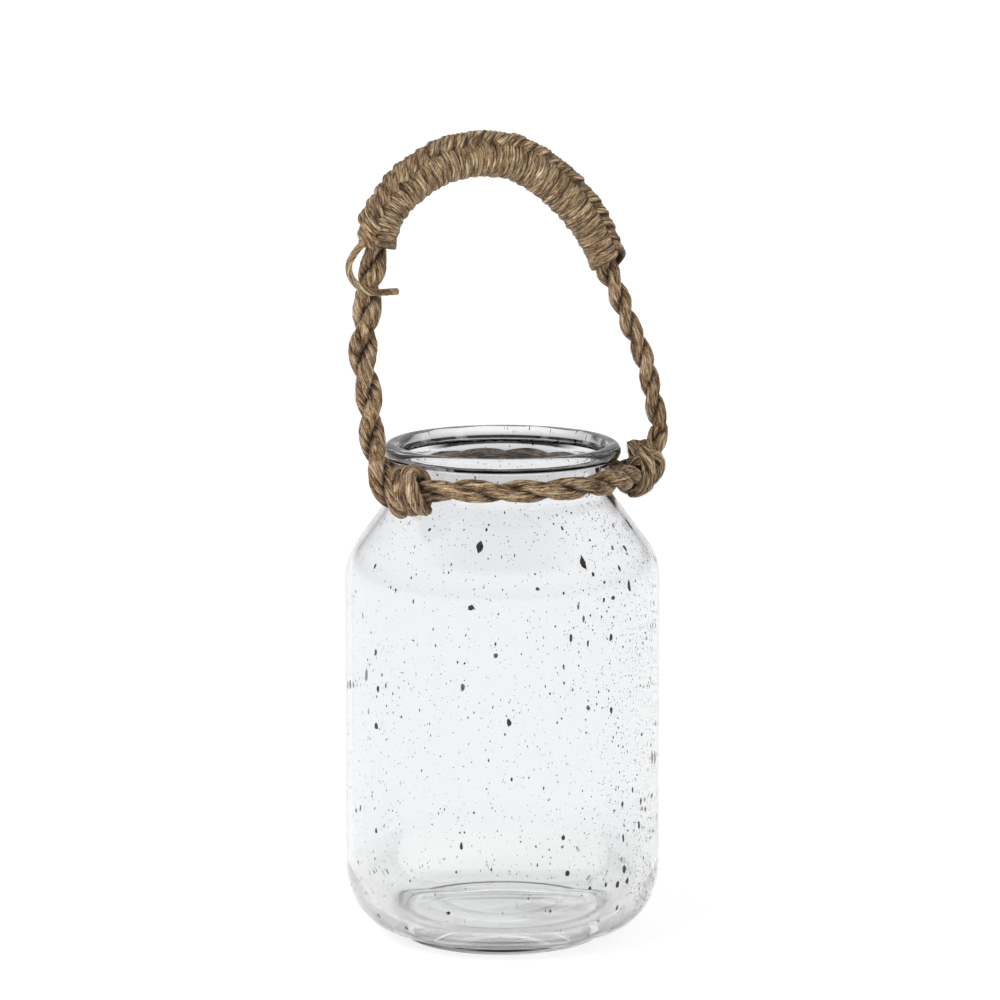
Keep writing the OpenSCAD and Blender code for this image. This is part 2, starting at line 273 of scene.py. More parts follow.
def twisted(skin, line, away, across, run, half, wide, look, seed, loop=False, shaded=0.0, shade=0.0):
    # a strand or yarn: bundles of fibres lie side by side round it, and the mesh winds with them
    spots = np.arange(look["sides"]) * 2 * math.pi / look["sides"]
    wander = 0 if loop else 0.35 * grain(run / 0.02, 0.5, seed)
    height, tint = 0, 0
    for count, length, share in look["bundles"]:
        place = spots[None, :] * count / (2 * math.pi)
        sway = grain(run[:, None] / length, place * 0.8, seed + count, 0 if loop else count)
        place = place + look["sway"] * sway
        which = np.floor(place) % count
        arch = 1 - np.abs(2 * (place - np.floor(place)) - 1) ** 2.4
        size = 0.65 + 0.35 * grain(run[:, None] / (1.6 * length) + which * 5.3, which, seed + count + 1)
        height = height + share * (arch * size - 1)
        tint = tint + share * grain(run[:, None] / (0.8 * length) + which * 3.1, which, seed + count + 2)
    total = sum(share for _, _, share in look["bundles"])
    height, tint = height / total, tint / total
    angle = spots[None, :] + (look["twist"] * run + wander)[:, None]
    lump = look["uneven"] * grain(run[:, None] / look["wave"], (angle * 3 / (2 * math.pi)) % 3, seed + 3, 3)
    reach = 1 + lump + look["depth"] * (height + 0.36)
    cos, sin = np.cos(angle), np.sin(angle)
    fill = np.where(cos < 0, (np.abs(cos) ** 3 + np.abs(sin) ** 3) ** (-1 / 3), 1)
    rings = line[:, None, :] + (away[:, None, :] * (cos * half[:, None] * reach * fill)[:, :, None]
                                + across[:, None, :] * (sin * wide[:, None] * reach * fill)[:, :, None])
    # painted shade: darker in the valleys between bundles, on the side that faces the other strand, at a
    # yarn's sides where it meets its neighbours, and by the strand's own shade
    groove = np.clip(-height * 1.3 - look["clear"] + shade + shaded * np.clip(-cos - 0.1, 0, 1)
                     + look["edge"] * np.abs(sin) ** 4, 0, 1)
    skin.tube(rings, run, np.broadcast_to(spots * half.mean(), angle.shape), groove, tint, loop)
    return rings


def strayFibres(skin, rings, run, look, seed, loop=False):     # loose ones that lift off the surface
    draw = random.Random(seed)
    n, m = rings.shape[:2]
    middle = rings.mean(1)
    step = run[1] - run[0]
    for _ in range(look["count"]):
        length = max(4, int(draw.uniform(*look["length"]) / step))
        if length + 2 >= n:
            continue
        start, spot = draw.randrange(0, n - length), draw.uniform(0, m)
        lean = draw.uniform(-1, 1) * look["lean"] * m / (2 * math.pi)
        lift, knots = draw.uniform(0.2, 1) ** 2 * look["lift"], 6
        t = np.linspace(0, 1, knots)
        rows = (start + t * length).astype(int)
        cols = (spot + lean * t) % m
        base = rings[rows, cols.astype(int) % m]
        out = unit(base - middle[rows])
        points = base + out * (0.00005 + lift * t ** 2)[:, None]
        way = unit(np.gradient(points, axis=0))
        side = np.cross(way, out)
        thick = look["thick"] * draw.uniform(0.6, 1.2) * np.array([1, 1, 1, 0.9, 0.7, 0.35])
        corners = np.arange(3) * 2 * math.pi / 3
        tube = points[:, None, :] + (out[:, None, :] * np.cos(corners)[None, :, None]
                                     + side[:, None, :] * np.sin(corners)[None, :, None]
                                     ) * thick[:, None, None]
        turn = np.tile(corners * 0.0001 + 0.0007 * spot, (knots, 1))
        skin.tube(tube, run[rows] + 0.003 * spot, turn, 0.05, draw.uniform(0, 1))


# bail: the line that the rope follows, from the left foot over the crown to the right foot

swing = next(j for j in frame["joints"] if j["name"] == "bail_swing")
bail = dict(
    rise=0.164, lean=8, leftFoot=0.08193, rightFoot=0.08124, oval=1.22, gap=-0.0006,
    leftLeg=0.124, rightLeg=0.106, leftLay=0.044, rightLay=0.030, gripShort=0.0055,
    fibreTurns=-2.1,                             # turns of the fibres in one lay of the left leg
    footStrand=0.0068, leftStrand=0.0078, gripStrand=0.0062, rightStrand=0.0056,
    line=[
        (-1.00, -0.02), (-1.00, 0.00), (-1.005, 0.03), (-1.01, 0.07), (-1.00, 0.12), (-0.975, 0.17),
        (-0.955, 0.23), (-0.95, 0.29), (-0.96, 0.38), (-0.95, 0.46), (-0.92, 0.54), (-0.90, 0.61),
        (-0.87, 0.67), (-0.83, 0.74), (-0.78, 0.82), (-0.67, 0.89), (-0.53, 0.94), (-0.37, 0.98),
        (-0.22, 0.995), (-0.06, 1.00), (0.12, 0.98), (0.29, 0.935), (0.44, 0.87), (0.54, 0.81),
        (0.61, 0.755), (0.67, 0.69), (0.72, 0.62), (0.77, 0.565), (0.83, 0.48), (0.89, 0.41),
        (0.945, 0.32), (0.98, 0.22), (1.01, 0.14), (1.015, 0.08), (1.005, 0.04), (1.00, 0.00),
        (1.00, -0.02)])
bailMiddle = np.array(swing["pos_m"])
bailAcross = np.array(swing["axis"])
bailFront = np.array([bailAcross[1], -bailAcross[0], 0])
leanAngle = math.radians(bail["lean"])
bailUp = np.array([0, 0, math.cos(leanAngle)]) - math.sin(leanAngle) * bailFront
bailFace = np.array([0, 0, math.sin(leanAngle)]) + math.cos(leanAngle) * bailFront
bailLine = smoothLine([(x * (bail["leftFoot"] if x < 0 else bail["rightFoot"]), y * bail["rise"])
                       for x, y in bail["line"]], 8)
bailRun = runOf(bailLine)
gripFrom, gripTo = bail["leftLeg"], bailRun[-1] - bail["rightLeg"] - bail["gripShort"]


def byBail(s, out=0.0, front=0.0):               # points beside the bail's line
    s = np.asarray(s, float)
    here = along(bailLine, bailRun, s)
    way = unit(along(bailLine, bailRun, np.clip(s + 0.003, 0, bailRun[-1]))
               - along(bailLine, bailRun, np.clip(s - 0.003, 0, bailRun[-1])))
    flat = here + np.broadcast_to(out, s.shape)[:, None] * np.stack([-way[:, 1], way[:, 0]], 1)
    return (bailMiddle + flat[:, :1] * bailAcross + flat[:, 1:] * bailUp
            + np.broadcast_to(front, s.shape)[:, None] * bailFace)


# loose end of the hitched yarn, a cord that hangs from the grip's left end

tail = dict(diameter=0.0035, length=0.048, sides=36, twist=260.0, depth=0.26, uneven=0.07, sway=0.6,
            clear=0.2, edge=0, wave=0.005, bundles=[(4, 0.008, 0.6), (13, 0.006, 0.4)], line=[
    (0.1265, 0.0097, 0.0056), (0.1245, 0.0108, 0.0058), (0.1215, 0.0126, 0.0059),
    (0.1180, 0.0142, 0.0060), (0.1145, 0.0150, 0.0059), (0.1110, 0.0142, 0.0059),
    (0.1080, 0.0122, 0.0062), (0.1058, 0.0094, 0.0070), (0.1042, 0.0064, 0.0080),
    (0.1034, 0.0032, 0.0086), (0.1035, 0.0, 0.0087), (0.1039, -0.0032, 0.0085),
    (0.1045, -0.0064, 0.0080), (0.1052, -0.0096, 0.0073), (0.1060, -0.0130, 0.0066)])


def makeTail(given):
    s, out, front = np.array(given["line"]).T
    points = byBail(s, out, front)
    line = smoothLine(points, 12)
    run = runOf(line)
    way = unit(np.gradient(line, axis=0))
    away = unit(np.cross(way, np.broadcast_to(bailFace, way.shape)))
    half = np.full(len(run), given["diameter"] / 2) * roundEnds(run, 0.0006)
    skin = Skin("yarn_tail_end")
    twisted(skin, line, away, np.cross(way, away), run, half, half, given, 40)
    made = skin.done(yarnFinish, "bail", ["yarn_tail"])


makeTail(tail)
print("yarn tail made")

# the collar's line round the neck, and places beside it

collar = dict(radius=0.06145, height=0.2386, knotRadius=0.0668, knotHeight=0.2356, strand=0.0061,
              oval=1.25, gap=-0.0006, turns=8, swell=32, squeeze=0.06, leftKnot=218, rightKnot=10,
              fullAt=342, full=0.16, steps=360, fibreTurns=-12)


def collarSwell(angle):
    near = 0
    for knot in (collar["leftKnot"], collar["rightKnot"]):
        d = np.abs((angle - knot + 540) % 360 - 180)
        near = near + np.where(d < collar["swell"], np.cos(np.radians(90 * d / collar["swell"])) ** 2, 0)
    return near


def byCollar(angle, out, up):                    # out from the collar's middle line, and up from it
    swell = collarSwell(angle)
    a = np.radians(angle)
    radius = collar["radius"] + (collar["knotRadius"] - collar["radius"]) * swell + out
    height = collar["height"] + (collar["knotHeight"] - collar["height"]) * swell + up
    return np.stack([np.cos(a) * radius, np.sin(a) * radius, height], -1)


def byKnot(at, side, points):                    # rows of millimetres: out, towards the front, up
    out, front, up = np.array(points, float).T[:3] / 1000
    return byCollar(at + side * np.degrees(front / collar["knotRadius"]), out, up)


# bail strands, laid up from foot to foot; each foot bends in to its knot

strand = dict(sides=132, depth=0.30, uneven=0.10, wave=0.009, step=0.0011, sway=1.1, clear=0.2,
              edge=0, bundles=[(10, 0.009, 0.36), (24, 0.0045, 0.38), (44, 0.003, 0.26)])
feet = dict(                                     # run along the bail, then out, front and up by the knot
    blend=(0.004, 0.032),
    left=[(0.066, 0, 0, 0), (0.0540, 10.6, -9.6, 49.0), (0.0430, 10.4, -8.0, 39.0),
          (0.0330, 11.4, -5.2, 30.0), (0.0250, 12.0, -2.6, 22.5), (0.0185, 11.8, -0.2, 16.5),
          (0.013, 12.0, 2.2, 10.6), (0.0075, 12.2, 4.6, 4.4), (0.002, 11.2, 6.6, -1.4),
          (-0.004, 7.8, 8.0, -5.6), (-0.010, 2.0, 8.6, -7.6)],
    right=[(0.026, 0, 0, 0), (0.0195, 14.4, -4.0, 18.0), (0.014, 13.2, -3.4, 12.0),
           (0.009, 12.2, -2.6, 7.0), (0.0035, 11.4, -1.6, 2.0), (-0.002, 9.4, -0.8, -3.0),
           (-0.007, 5.2, -0.6, -7.2)])


def strandLine(stops):                           # the bail's middle line with its two feet bent in
    line = byBail(stops)
    for rows, at, side, run in ((feet["left"], collar["leftKnot"], 1, stops),
                                (feet["right"], collar["rightKnot"], -1, bailRun[-1] - stops)):
        rows = np.array(rows)
        top = rows[0, 0]
        start = byBail([top if side > 0 else bailRun[-1] - top])
        above = byBail([top + 0.006 if side > 0 else bailRun[-1] - top - 0.006])
        points = np.vstack([above, start, byKnot(at, side, rows[1:, 1:])])
        way = smoothLine(points, 10)
        marks = smoothLine(np.concatenate([[top + 0.006], rows[:, 0]])[:, None], 10)[:, 0]
        low = run < top
        line[low] = along(way[::-1], marks[::-1], run[low])
    return line


def bailStrand(name, node, phase, seed):
    low, high = feet["left"][-1][0], bailRun[-1] - feet["right"][-1][0]
    stops = np.linspace(low, high, int((high - low) / strand["step"]))
    thick = np.interp(stops, [0, 0.012, gripFrom - 0.012, gripFrom - 0.002, gripTo + 0.002,
                              gripTo + 0.010, bailRun[-1]],
                      [bail["footStrand"]] * 2 + [bail["leftStrand"]] + [bail["gripStrand"]] * 2
                      + [bail["rightStrand"]] * 2)
    rate = 2 * math.pi * np.interp(stops, [0, gripFrom, gripTo, bailRun[-1]],
                                   [1 / bail["leftLay"]] * 2 + [1 / bail["rightLay"]] * 2)
    turns = np.concatenate([[0], np.cumsum((rate[1:] + rate[:-1]) / 2 * np.diff(stops))])
    lay = math.pi / 2 + turns - np.interp(0, stops, turns) + phase
    half = thick / 2
    middle = strandLine(stops)
    way = unit(np.gradient(middle, axis=0))
    face = unit(bailFace - (way @ bailFace)[:, None] * way)
    out = np.cross(face, way)
    away = out * np.cos(lay)[:, None] + face * np.sin(lay)[:, None]
    across = face * np.cos(lay)[:, None] - out * np.sin(lay)[:, None]
    line = middle + away * (half + bail["gap"] / 2)[:, None]
    skin = Skin(name)
    tips = roundEnds(stops - low, 0.003)
    rings = twisted(skin, line, away, across, stops, half * tips, half * bail["oval"] * tips,
                    dict(strand, twist=bail["fibreTurns"] * 2 * math.pi / bail["leftLay"]), seed,
                    shaded=0.6)
    strayFibres(skin, rings, stops, stray, seed + 50)
    low, high = [(0, 0, bailMiddle[2] + z) for z in feet["blend"]]
    skin.done(ropeFinish, "bail", [node], bend=("collar", low, high))


bailStrand("bail_rope_a", "bail_strand_a", 0, 11)
bailStrand("bail_rope_b", "bail_strand_b", math.pi, 12)
print("bail rope made")

# collar strands, laid round the neck


def collarStrand(name, node, phase, seed):
    angle = np.arange(collar["steps"]) * 360 / collar["steps"]
    swell = collarSwell(angle)
    a = np.radians(angle)
    out = np.stack([np.cos(a), np.sin(a), 0 * a], 1)
    up = np.broadcast_to([0.0, 0.0, 1.0], out.shape)
    lay = phase + a * collar["turns"]
    full = np.exp(-((angle - collar["fullAt"] + 180) % 360 - 180) ** 2 / 200)
    half = collar["strand"] / 2 * (1 - collar["squeeze"] * swell + collar["full"] * full)
    away = -out * np.cos(lay)[:, None] + up * np.sin(lay)[:, None]
    across = up * np.cos(lay)[:, None] + out * np.sin(lay)[:, None]
    line = byCollar(angle, 0, 0) + away * (half + collar["gap"] / 2)[:, None]
    run = a * collar["radius"]
    skin = Skin(name)
    rings = twisted(skin, line, away, across, run, half, half * collar["oval"],
                    dict(strand, twist=collar["fibreTurns"] / collar["radius"]), seed, loop=True,
                    shaded=0.6)
    strayFibres(skin, rings, run, stray, seed + 50)
    skin.done(ropeFinish, "collar", [node])


collarStrand("collar_rope_a", "collar_strand_a", 0, 21)
collarStrand("collar_rope_b", "collar_strand_b", math.pi, 22)
print("collar rope made")

# knots: each strand in millimetres out from the collar's middle, towards the front and up, then its
# half thickness and half width

knots = dict(
    left=dict(at=collar["leftKnot"], side=1, node="left_knot", seed=31, strands=[
        # a core strand, darkened with painted shade, fills the holes inside the knot
        dict(pair=0.1, shade=0.5, line=[
            (0.5, -4, 0, 5.0, 5.0), (0.5, 2, 0, 6.2, 6.2), (0.5, 8, 0, 6.4, 6.4), (0.5, 13, 0, 6.2, 6.2),
            (0.5, 17, 0, 5.4, 5.4)]),
        dict(pair=3.4, shade=0, line=[
            (8.0, 8.4, -6.8, 2.6, 3.5), (3.0, 9.8, -8.8, 2.5, 3.5), (-3.0, 10.0, -8.8, 2.4, 3.6),
            (-7.6, 9.6, -5.0, 2.3, 3.7), (-8.6, 9.0, 1.0, 2.2, 3.8), (-7.2, 8.0, 7.0, 2.6, 3.8),
            (-2.0, 7.0, 10.0, 3.2, 3.8), (4.0, 8.4, 10.4, 3.3, 3.8), (8.4, 11.0, 7.6, 3.2, 3.9),
            (10.0, 13.8, 2.4, 3.0, 4.0), (9.8, 15.6, -2.6, 2.9, 3.9), (7.4, 16.2, -7.0, 2.9, 3.7),
            (2.6, 15.6, -9.2, 2.7, 3.5), (-2.0, 14.6, -9.0, 2.6, 3.2)])],
        tuft=[
            [(3.4, 12.6, -9.4), (3.0, 13.8, -11.2), (2.4, 15.2, -12.8), (2.0, 16.4, -14.0)],
            [(3.2, 13.6, -10.0), (2.8, 14.6, -11.8), (2.3, 15.6, -13.0), (1.9, 16.6, -13.6)],
            [(3.6, 18.2, -8.8), (3.2, 18.0, -10.4), (2.6, 17.4, -12.2), (2.1, 16.2, -14.2)],
            [(3.4, 17.0, -9.4), (3.0, 17.0, -10.8), (2.6, 16.8, -12.2), (2.0, 16.2, -13.8)]]),
    right=dict(at=collar["rightKnot"], side=-1, node="right_knot", seed=35, strands=[
        # a core strand, darkened with painted shade, fills the holes inside the knot; this knot's other
        # strands carry painted shade too, as it lies in shade
        dict(pair=0.1, shade=0.5, line=[
            (0.5, -9, 0, 4.5, 4.5), (0.5, -5, 0, 6.6, 6.6), (0.5, 0, 0, 6.9, 6.9), (0.6, 5, 0, 6.8, 6.8),
            (0.5, 8.5, 0, 6.0, 6.0)]),
        dict(pair=3.3, shade=0.12, line=[
            (9.0, -1.0, -3.6, 3.0, 3.4), (5.4, -1.0, -7.0, 2.4, 3.4), (0.0, -0.6, -8.0, 2.1, 3.4),
            (-5.4, 0.0, -6.2, 1.9, 3.4), (-7.8, 0.4, -2.0, 1.6, 3.2)]),
        dict(pair=3.3, shade=0.12, line=[
            (-3.0, 2.0, 4.4, 1.8, 2.6), (-0.4, 2.6, 6.8, 2.0, 3.2), (3.0, 3.4, 8.2, 2.8, 3.6),
            (7.2, 5.0, 6.4, 3.4, 3.6),
            (8.8, 6.4, 0.6, 3.3, 3.5), (7.2, 7.4, -4.8, 2.9, 3.4), (2.6, 8.0, -7.8, 2.6, 3.2),
            (-2.6, 8.0, -8.0, 2.4, 3.0)]),
        dict(pair=2.8, shade=0.30, across=True, round=0.0004, line=[
            (5.8, 1.0, 5.0, 3.6, 3.3), (5.0, 0.4, 9.6, 3.7, 3.5), (4.2, -0.4, 14.0, 3.6, 3.4),
            (3.8, -1.2, 17.6, 3.5, 3.2)]),
        dict(pair=1.9, shade=0.12, line=[
            (4.4, 5.0, 13.6, 2.4, 2.6), (6.4, 8.4, 11.0, 2.8, 2.8), (8.4, 10.4, 6.4, 2.9, 3.0),
            (8.2, 11.0, 0.6, 2.8, 3.0), (5.4, 10.6, -5.0, 2.6, 2.8), (0.6, 9.6, -7.8, 2.4, 2.6)]),
        dict(pair=1.9, shade=0.22, line=[
            (5.0, 2.0, 11.0, 2.3, 2.5), (10.6, 2.6, 10.2, 2.5, 2.7), (13.8, 3.0, 6.6, 2.5, 2.7),
            (13.6, 3.0, 2.2, 2.5, 2.7), (10.8, 2.4, -1.8, 2.4, 2.6), (7.0, 1.6, -4.6, 2.3, 2.4)])]))


def makeKnot(name, knot):
    skin = Skin(name)
    seed = knot["seed"]
    for given in knot["strands"]:
        rows = smoothLine(given["line"], 14)
        for beside in (-1, 1):
            seed += 1
            apart = beside * given["pair"]
            shift = np.array([apart, 0, 0] if given.get("across") else [0, apart, 0])
            line = byKnot(knot["at"], knot["side"], rows[:, :3] + shift)
            core = byKnot(knot["at"], knot["side"], rows[:, :3] * [0, 1, 0] + shift * [0, 1, 0])
            run = runOf(line)
            stops = np.linspace(0, run[-1], int(run[-1] / 0.0008))
            line, core = along(line, run, stops), along(core, run, stops)
            half, wide = along(rows[:, 3:] / 1000, run, stops).T
            way = unit(np.gradient(line, axis=0))
            away = line - core
            away = unit(away - (away * way).sum(1)[:, None] * way)
            tips = roundEnds(stops, given.get("round", 0.002))
            rings = twisted(skin, line, away, np.cross(way, away), stops, half * tips, wide * tips,
                            dict(strand, twist=110 * knot["side"]), seed, shaded=0.4,
                            shade=given["shade"])
            strayFibres(skin, rings, stops, dict(stray, count=50), seed + 60)
    for given in knot.get("tuft", []):               # a few ends of fibre that stick out below
        line = byKnot(knot["at"], knot["side"], smoothLine(given, 6))
        way = unit(np.gradient(line, axis=0))
        side = unit(np.cross(way, [0.0, 0.0, 1.0]))
        corners = np.arange(5) * 2 * math.pi / 5
        ring = (side[:, None, :] * np.cos(corners)[:, None]
                + np.cross(way, side)[:, None, :] * np.sin(corners)[:, None])
        tube = line[:, None, :] + ring * np.linspace(0.00032, 0.00012, len(line))[:, None, None]
        skin.tube(tube, runOf(line), np.tile(corners * 0.0002, (len(line), 1)), 0.0, 0.9)
    skin.done(ropeFinish, "collar", [knot["node"]])


makeKnot("left_knot_rope", knots["left"])
makeKnot("right_knot_rope", knots["right"])
print("knots made")

# grip: half hitches of five yarns laid side by side

# edge darkens each yarn's sides with painted shade where the yarns meet
grip = dict(hitches=27, yarns=5, inner=0.00655, yarnHalf=0.00086, sides=18, depth=0.34, uneven=0.08,
            wave=0.004, twist=160.0, perTurn=38, crown=0.0006, sway=0.6, clear=0.2, edge=0.5,
            swell=[(0, 0.0001), (0.04, 0.0010), (0.12, 0.0006), (0.55, 0.0006), (0.8, 0.0001),
                   (1, -0.0012)],
            bundles=[(3, 0.006, 0.5), (7, 0.004, 0.5)])


def hitchYarn(skin, k):
    pitch = (gripTo - gripFrom) / grip["hitches"]
    steps = grip["hitches"] * grip["perTurn"]
    t = np.arange(steps + 1) / grip["perTurn"]
    a = np.radians(-30) + 2 * math.pi * t
    place = (k - (grip["yarns"] - 1) / 2) / grip["yarns"]
    tight = 0.86 + 0.10 * grain(t * 1.1, 0.5, 54)
    shift = pitch * (place * tight + 0.07 * grain(t * 2.1, k, 51) + 0.10 * grain(t * 0.9, 0.5, 55))
    s = gripFrom + pitch * (0.5 + t * (grip["hitches"] - 1) / grip["hitches"]) + shift
    s = np.clip(s, gripFrom + 0.0005, gripTo - 0.0005)
    swell = 0.00045 * grain(t * 1.6, 0.5, 53) + np.interp(t / grip["hitches"], *zip(*grip["swell"]))
    radius = (grip["inner"] + 0.0010 + swell + grip["crown"] * (1 - (2 * place) ** 2)
              + 0.0004 * grain(t * 1.9, k + 0.5, 52))
    line = byBail(s, radius * np.cos(a), radius * np.sin(a))
    middle = byBail(s)
    run = runOf(line)
    way = unit(np.gradient(line, axis=0))
    away = line - middle
    away = unit(away - (away * way).sum(1)[:, None] * way)
    half = grip["yarnHalf"] * 1.25 * (1 + 0.15 * grain(t * 3.1, k, 56)) * roundEnds(run, 0.001)
    rings = twisted(skin, line, away, np.cross(way, away), run, half, half * 1.05, grip, 60 + k,
                    shaded=0.6)
    strayFibres(skin, rings, run, dict(stray, count=60, length=(0.004, 0.010), lift=0.0009), 160 + k)


def makeGrip():
    skin = Skin("grip_yarn")
    for k in range(grip["yarns"]):
        hitchYarn(skin, k)
    skin.done(yarnFinish, "bail", ["grip_hitches"])


makeGrip()
print("grip made")

ridge = dict(yarns=3, reach=1.35, slant=62, lift=0.0040, spread=0.0019, half=0.00160, radius=0.0105,
             steps=30, turn=[(0, 34), (0.35, 10), (1, 2)])


def makeRidge():
    skin = Skin("grip_ridge_yarn")
    pitch = (gripTo - gripFrom) / grip["hitches"]
    for i in range(1, grip["hitches"]):
        middle = gripFrom + pitch * i
        share = i / grip["hitches"]
        turn = np.interp(share, *zip(*ridge["turn"]))
        wobble = random.Random(i).uniform(-1, 1)
        for k in range(ridge["yarns"]):
            t = np.linspace(-0.5, 0.5, ridge["steps"])
            beside = (k - (ridge["yarns"] - 1) / 2) * ridge["spread"]
            angle = np.radians(turn - (ridge["slant"] + 5 * wobble) * t)
            slope = math.atan2(math.radians(ridge["slant"]) * ridge["radius"], ridge["reach"] * pitch)
            s = middle + pitch * ridge["reach"] * t + beside * math.sin(slope)
            angle = angle + beside * math.cos(slope) / ridge["radius"]
            arch = np.cos(math.pi * t) ** 0.7
            radius = (grip["inner"] + 0.0010 + ridge["lift"] * arch + 0.0005 * wobble
                      + np.interp(share, *zip(*grip["swell"])))
            line = byBail(s, radius * np.cos(angle), radius * np.sin(angle))
            run = runOf(line)
            way = unit(np.gradient(line, axis=0))
            away = line - byBail(s)
            away = unit(away - (away * way).sum(1)[:, None] * way)
            half = np.full(len(run), ridge["half"]) * roundEnds(run, 0.001)
            twisted(skin, line, away, np.cross(way, away), run, half, half, grip, 80 + 3 * i + k,
                    shaded=0.6)
    skin.done(yarnFinish, "bail", ["grip_ridge"])


makeRidge()
print("ridge made")

# jar: blown glass, one outline turned round the axis

jar = dict(
    bodyR=0.080, rimZ=0.250, neckR=0.055, beadR=0.0042, wall=0.0033, shoulderRound=0.032,
    shoulderSlope=36, neckFillet=0.006, neckH=0.021, cornerW=0.024, cornerH=0.031, footR=0.052,
    footH=0.005, footFace=0.004, footEdge=0.0025, stepRound=0.0012, floorZ=0.012, floorR=0.056,
    puntH=0.0045, around=256, uneven=0.0012)


def arc(centre, rx, ry, start, end, steps):
    a = np.radians(np.linspace(start, end, steps + 1))
    return np.stack([centre[0] + rx * np.cos(a), centre[1] + ry * np.sin(a)], 1)


def jarOutline(g):
    slope = math.radians(g["shoulderSlope"])
    neckZ = g["rimZ"] - g["neckH"]
    drop = g["shoulderRound"] * (1 - math.cos(slope))
    shoulderZ = (neckZ - (g["bodyR"] - drop - g["neckR"]) / math.tan(slope)
                 - g["shoulderRound"] * math.sin(slope))
    shoulder = (g["bodyR"] - g["shoulderRound"], shoulderZ)
    fillet = (g["neckR"] + g["neckFillet"], neckZ + g["neckFillet"] * math.tan(slope / 2))
    corner = (g["bodyR"] - g["cornerW"], g["footH"] + g["cornerH"])
    floorCorner = (g["floorR"], corner[1] + g["wall"])
    bead = (g["neckR"] - g["wall"] + g["beadR"], g["rimZ"])
    beadFoot = math.degrees(math.acos((g["neckR"] - bead[0]) / g["beadR"]))
    puntR = g["footR"] - g["footFace"] - g["footEdge"]
    puntRound = (puntR ** 2 + g["puntH"] ** 2) / (2 * g["puntH"])
    hollow = np.radians(np.linspace(0, math.degrees(math.asin(puntR / puntRound)), 16))[1:]
    under = np.stack([puntRound * np.sin(hollow), g["puntH"] - puntRound * (1 - np.cos(hollow))], 1)
    edge = (g["footR"] - g["footEdge"], g["footEdge"])
    step = (g["footR"] + g["stepRound"], g["footH"] - g["stepRound"])
    degrees = g["shoulderSlope"]
    floor = np.stack([np.linspace(g["floorR"], 0, 14)[1:-1], np.full(12, g["floorZ"])], 1)
    inside = np.vstack([
        arc(fillet, g["neckFillet"] + g["wall"], g["neckFillet"] + g["wall"], 180, 180 + degrees, 8),
        arc(shoulder, g["shoulderRound"] - g["wall"], g["shoulderRound"] - g["wall"], degrees, 0, 18),
        arc(floorCorner, g["bodyR"] - g["wall"] - g["floorR"], floorCorner[1] - g["floorZ"], 0, -90, 30)])
    outside = np.vstack([
        arc(edge, g["footEdge"], g["footEdge"], -90, 0, 10),
        arc(step, g["stepRound"], g["stepRound"], 180, 90, 5),
        arc(corner, g["cornerW"], g["cornerH"], -90, 0, 34),
        arc(shoulder, g["shoulderRound"], g["shoulderRound"], 0, degrees, 20),
        arc(fillet, g["neckFillet"], g["neckFillet"], 180 + degrees, 180, 8),
        arc(bead, g["beadR"], g["beadR"], -beadFoot, 180, 44)])
    return [(0, g["puntH"])], np.vstack([under, outside, inside, floor]), [(0, g["floorZ"])]


glass = dict(                                    # from where to where, by height, radius or place across
    body=(0.895, 0.902, 0.912, 1), base=(0.875, 0.885, 0.880, 1), baseClear=0.40,
    baseTop=(0.030, 0.042), baseSide=(0.054, 0.064), baseLow=(0.004, 0.010),
    floorLow=(0.010, 0.0115), floorHigh=(0.0125, 0.018), swirl=(16, 44, 1),
    # from here on: painted dark reflection on the jar's floor, and painted dark lines at the floor's edge,
    # the foot and under the rim
    smear=(0.05, 0.055, 0.035, 1), smearSide=(0.044, 0.052), smearSwirl=(0.44, 0.60),
    smearRight=(-0.020, 0.020), edgeIn=(0.0515, 0.0530), edgeOut=(0.0550, 0.0570), edgeSwirl=(0.20, 0.45),
    footTop=(0.0035, 0.0060), footSide=(0.046, 0.049), footRight=(-0.040, 0.0),
    rimLow=(0.2462, 0.2474), rimHigh=(0.2486, 0.2500), rimSide=(0.0570, 0.0580), rimSwirl=(0.12, 0.40))


